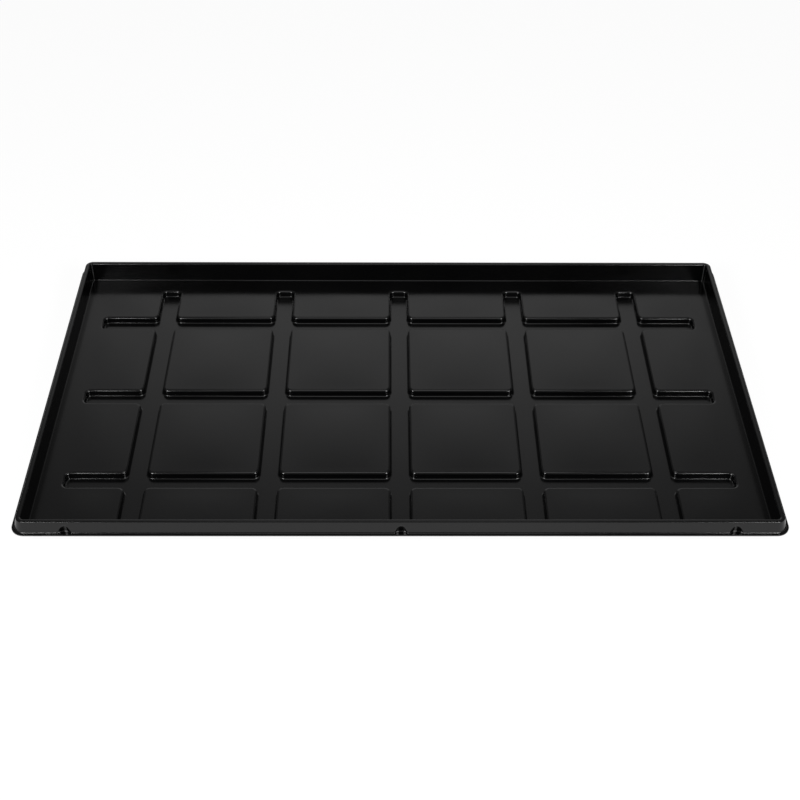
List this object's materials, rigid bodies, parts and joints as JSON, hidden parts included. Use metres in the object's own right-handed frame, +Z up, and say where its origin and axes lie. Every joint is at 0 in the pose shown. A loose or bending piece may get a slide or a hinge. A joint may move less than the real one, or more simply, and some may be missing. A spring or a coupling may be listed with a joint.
{
  "type": "plant drip tray",
  "caption": "Rectangular black plastic drip tray for plant pots: raised pads between a lattice of drain channels, upright walls, a narrow rim and a skirt with a trim lip.",
  "frame": {"origin": "middle of the tray's outline on the ground", "axes": "+X along the length, +Y from front to back, +Z up"},
  "size_m": [1, 0.606, 0.0415],
  "materials": {
    "black_sheet": "satin black formed plastic sheet"
  },
  "bodies": {
    "root": {"long_channel_1": "black_sheet", "long_channel_2": "black_sheet", "long_channel_3": "black_sheet", "long_channel_4": "black_sheet", "long_channel_5": "black_sheet", "cross_channel_1": "black_sheet", "cross_channel_2": "black_sheet", "cross_channel_3": "black_sheet", "channel_crossings": "black_sheet", "long_channel_ends": "black_sheet", "cross_channel_ends": "black_sheet", "pad_r1c1": "black_sheet", "pad_r1c2": "black_sheet", "pad_r1c3": "black_sheet", "pad_r1c4": "black_sheet", "pad_r1c5": "black_sheet", "pad_r1c6": "black_sheet", "pad_r2c1": "black_sheet", "pad_r2c2": "black_sheet", "pad_r2c3": "black_sheet", "pad_r2c4": "black_sheet", "pad_r2c5": "black_sheet", "pad_r2c6": "black_sheet", "pad_r3c1": "black_sheet", "pad_r3c2": "black_sheet", "pad_r3c3": "black_sheet", "pad_r3c4": "black_sheet", "pad_r3c5": "black_sheet", "pad_r3c6": "black_sheet", "pad_r4c1": "black_sheet", "pad_r4c2": "black_sheet", "pad_r4c3": "black_sheet", "pad_r4c4": "black_sheet", "pad_r4c5": "black_sheet", "pad_r4c6": "black_sheet", "front_margin": "black_sheet", "right_margin": "black_sheet", "back_margin": "black_sheet", "left_margin": "black_sheet", "front_wall": "black_sheet", "right_wall": "black_sheet", "back_wall": "black_sheet", "left_wall": "black_sheet", "front_rim": "black_sheet", "right_rim": "black_sheet", "back_rim": "black_sheet", "left_rim": "black_sheet", "front_skirt": "black_sheet", "right_skirt": "black_sheet", "back_skirt": "black_sheet", "left_skirt": "black_sheet", "front_lip": "black_sheet", "right_lip": "black_sheet", "back_lip": "black_sheet", "left_lip": "black_sheet", "front_left_corner": "black_sheet", "front_right_corner": "black_sheet", "back_right_corner": "black_sheet", "back_left_corner": "black_sheet"}
  },
  "joints": []
}
